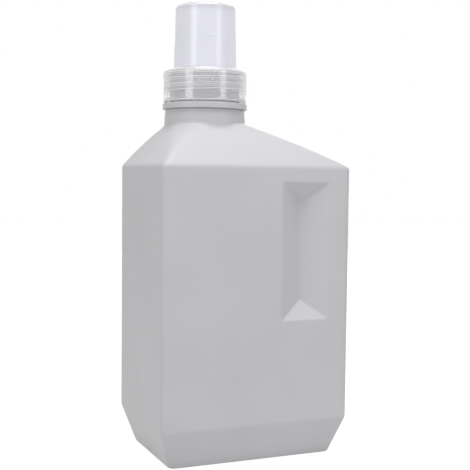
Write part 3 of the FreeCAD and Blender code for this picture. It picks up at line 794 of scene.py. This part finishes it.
# %% Close the bottle
rows = np.concatenate([outside, inside])
points = rows.reshape(-1, 3)
numbers = np.arange(len(points)).reshape(-1, columns)
quads = grid_faces(len(rows), columns)
keep = np.ones(quads.shape[:2], bool)
grip_faces = []
back_start = front_steps + 2 * corner_steps + side_steps
for first, last, skin in ((wall_start, wall_end, 0.0),
                          (lining_start, lining_start + len(lining_levels) - 1, wall)):
    for start, face_y in ((0, -half_deep + skin), (back_start, half_deep - skin)):
        end = start + front_steps
        keep[first:last, start:end] = False
        hole = np.concatenate([numbers[first, start:end], numbers[first:last, end],
                               numbers[last, start + 1:end + 1][::-1],
                               numbers[first + 1:last + 1, start][::-1]])
        flip_x = 1 if start == 0 else -1
        flip_z = 1 if skin == 0 else -1
        points, faces = sink_grip(points, hole, front_steps, last - first, flip_x, flip_z,
                                  face_y, skin)
        grip_faces += faces

# the nets start in the middle of a corner, half its steps back
net_steps = front_steps + corner_steps, side_steps + corner_steps
points, base_faces, base_inner = close_ring(
    points, np.roll(numbers[0], corner_steps // 2), *net_steps)
weld_height, weld_half_width, weld_half_length = 0.9, 0.95, 29
weld_flank, weld_end = 0.5, 1.5
across = smooth_step((weld_half_width - np.abs(points[base_inner, 1])) / weld_flank)
ends = smooth_step((weld_half_length - np.abs(points[base_inner, 0])) / weld_end)
points[base_inner, 2] -= weld_height * across * ends
points, floor_faces, _ = close_ring(
    points, np.roll(numbers[-1], corner_steps // 2), *net_steps)

bottle_skin = make_piece(
    "bottle_skin", points, [quads[keep], base_faces[:, ::-1], floor_faces] + grip_faces,
    hdpe, "bottle")
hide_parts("bottle")

# %% [markdown]
# The cap is a turned shape, from the gate mark in the middle of its top, down
# the cup, over the deck and down the skirt, then back inside past the sealing
# ring to the cup's ceiling. Only the thread and a small volume tick aren't
# turned, and they are heights on the skirt's inner wall and the cup's outer one.

# %% The measuring cap
cap_bore, cap_radius = 21.6, cap_high[0] - axis_x
cup_radius, cup_taper, cup_top_wall = 17.35, 0.9, 1.3
cap_top, deck_level, cap_level = cap_high[2], 214.1, cap_low[2]
gate_radius, gate_depth = 1.2, 0.3
deck_ceiling, ring_radius, ring_bore, ring_tip = 212.4, 16.65, 15.75, 206.4
cap_corners = rounded([
    (0.25, cap_top - 0.25, 0), (gate_radius, cap_top - gate_depth, 0.3),
    (gate_radius + 0.5, cap_top, 0.3),
    (cup_radius - cup_taper, cap_top, 2.3), (cup_radius, deck_level, 1.2),
    (cap_radius, deck_level, 2.0), (cap_radius, cap_level, 0.5),
    (cap_bore + 0.4, cap_level, 0.25), (cap_bore, cap_level + 1.7, 0.4),
    (cap_bore, deck_ceiling, 0.5), (ring_radius, deck_ceiling, 0.4),
    (ring_radius, ring_tip + 0.9, 0.2), (ring_radius - 0.45, ring_tip, 0.15),
    (ring_bore, ring_tip, 0.15),
    (cup_radius - cup_taper - cup_top_wall, cap_top - cup_top_wall, 1.0),
    (0.25, cap_top - cup_top_wall, 0)], 8)
# fine rows on the inner wall, where the thread is, and plain ones elsewhere
on_wall = np.abs(cap_corners[:-1, 0] + cap_corners[1:, 0] - 2 * cap_bore) < 0.04
cap_profile = in_steps(cap_corners, np.where(on_wall, 0.15, 0.6))
cap_columns = 192
cap_angle = 2 * np.pi * np.arange(cap_columns) / cap_columns
from_front = (cap_angle + np.pi) % (2 * np.pi) - np.pi
cap_r = np.repeat(cap_profile[:, :1], cap_columns, 1)
cap_z = np.repeat(cap_profile[:, 1:], cap_columns, 1)

cap_thread_height, cap_thread_ends = 1.3, (205.0, 212.6)
inner_wall = (np.abs(cap_r - cap_bore) < 0.02) & (cap_z < deck_ceiling - 0.4)
ridge = cap_thread_height * thread(from_front, cap_z, *cap_thread_ends, helix_pitch / 2)
cap_r = cap_r - np.where(inner_wall, ridge, 0)

# the tick's place, half its size, how proud it stands, and its soft rim
tick_angle, tick_radius, tick_level = -1.69, 17, 232
tick_half_length, tick_half_width, tick_proud, tick_rim = 2.2, 0.45, 0.18, 0.3
along = tick_half_length - np.abs(from_front - tick_angle) * tick_radius
upright = tick_half_width - np.abs(cap_z - tick_level)
tick = smooth_step(along / tick_rim) * smooth_step(upright / tick_rim)
cap_r = cap_r + tick_proud * tick * (cap_r > cup_radius - cup_taper)
cap_points = np.stack([axis_x + cap_r * np.cos(cap_angle), cap_r * np.sin(cap_angle), cap_z], -1)
print("cap rows", len(cap_profile))


def fan(centre, ring):
    """Triangles from one point to each step of a ring."""
    return np.stack([np.full(len(ring), centre), ring, np.roll(ring, -1)], -1)


# the two middles of the top, outside and inside, are single points
middles = [[axis_x, 0, cap_profile[0, 1]], [axis_x, 0, cap_profile[-1, 1]]]
cap_points = np.concatenate([cap_points.reshape(-1, 3), middles])
outer_middle, inner_middle = len(cap_points) - 2, len(cap_points) - 1
first_ring = np.arange(cap_columns)
last_ring = (len(cap_profile) - 1) * cap_columns + first_ring
cap_faces = grid_faces(len(cap_profile), cap_columns).reshape(-1, 4)[:, ::-1]
cap_moulding = make_piece(
    "cap_moulding", cap_points,
    [cap_faces, fan(outer_middle, first_ring), fan(inner_middle, last_ring)[:, ::-1]],
    pp, "cap")
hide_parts("measuring_cap")

# %% [markdown]
# The pour spout is plain enough to keep the measured model's own mesh, so it
# only gets its finish.

# %% Finish the pour spout
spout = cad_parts["pour_spout"]
spout.data.materials.clear()
spout.data.materials.append(ldpe)

# %% [markdown]
# The stage is a wide white floor and a white world. Only camera, glossy and
# transmission rays see them at full white; the light that reaches the bottle
# comes from a dimmer world and four soft lamps. The overhead one is the
# strongest and a little cool, so the shoulder's facets come out brighter and
# cooler than the walls. One box on each side models the walls and draws the two
# long gloss strips on the cup, and a fill keeps the back from going dark.

# %% Floor, world and lamps
def seen_directly(tree):
    """1 on camera, glossy and transmission rays, and 0 on rays that light things."""
    ray = add_node(tree, "ShaderNodeLightPath").outputs
    seen = maths(tree, "MAXIMUM", ray["Is Camera Ray"], ray["Is Glossy Ray"])
    return maths(tree, "MAXIMUM", seen, ray["Is Transmission Ray"])


def white_floor():
    """Matt white, with most of its white given straight to the camera."""
    finish, tree, output = new_finish("white_floor")
    paper = add_node(tree, "ShaderNodeBsdfDiffuse", {}, {"Color": linear("#DCDCDC")})
    shaded = add_node(tree, "ShaderNodeBsdfDiffuse", {}, {"Color": linear("#909090")})
    glow = add_node(tree, "ShaderNodeEmission", {}, {"Color": (1, 1, 1, 1), "Strength": 0.91})
    shown = add_node(tree, "ShaderNodeAddShader", {}, {
        0: glow.outputs[0], 1: shaded.outputs[0]})
    both = add_node(tree, "ShaderNodeMixShader", {}, {
        0: seen_directly(tree), 1: paper.outputs[0], 2: shown.outputs[0]})
    tree.links.new(both.outputs[0], output.inputs["Surface"])
    return finish


floor_side, floor_drop = np.linspace(-3000, 3000, 13), 0.05
floor_x, floor_y = np.meshgrid(floor_side, floor_side)
floor_points = np.stack([floor_x, floor_y, np.full_like(floor_x, -floor_drop)], -1)
floor_faces = grid_faces(len(floor_side), len(floor_side), closed=False)
floor_mesh = bpy.data.meshes.new("floor")
floor_mesh.from_pydata((floor_points.reshape(-1, 3) / 1000).tolist(), [],
                       floor_faces.reshape(-1, 4).tolist())
floor_mesh.materials.append(white_floor())
floor = bpy.data.objects.new("floor", floor_mesh)
bpy.context.scene.collection.objects.link(floor)

world = bpy.data.worlds.new("studio")
bpy.context.scene.world = world
world.use_nodes = True
tree = world.node_tree
tree.nodes.clear()
strength = add_node(tree, "ShaderNodeMapRange", {}, {
    "Value": seen_directly(tree), "To Min": 0.3, "To Max": 1.0})
sky = add_node(tree, "ShaderNodeBackground", {}, {
    "Color": (1, 1, 1, 1), "Strength": strength.outputs["Result"]})
add_node(tree, "ShaderNodeOutputWorld", {}, {"Surface": sky.outputs[0]})


def soft_lamp(name, angle, distance, height, width, tall, watts, tint=(1, 1, 1)):
    """An oblong area lamp that stands round the bottle and faces its middle.

    angle is anticlockwise from +X, in degrees, round the upright axis. The place
    and the size are in metres.
    """
    lamp = bpy.data.lights.new(name, "AREA")
    lamp.shape, lamp.size, lamp.size_y, lamp.energy = "RECTANGLE", width, tall, watts
    lamp.color = tint
    holder = bpy.data.objects.new(name, lamp)
    turn = math.radians(angle)
    place = Vector((distance * math.cos(turn), distance * math.sin(turn), height))
    aim = bottle_middle - place
    holder.location = place
    holder.rotation_euler = aim.to_track_quat("-Z", "Y").to_euler()
    bpy.context.scene.collection.objects.link(holder)


soft_lamp("left_box", -155, 1.2, 0.35, 0.45, 1.2, 3.4)
soft_lamp("right_box", -61, 1.2, 0.35, 0.36, 1.2, 2.4)
soft_lamp("overhead", -100, 0.3, 1.1, 0.9, 0.7, 8.1, (0.985, 0.975, 1.0))
soft_lamp("back_fill", 70, 1.3, 0.5, 1.0, 1.0, 2.6)

bpy.context.scene.view_settings.view_transform = "Standard"
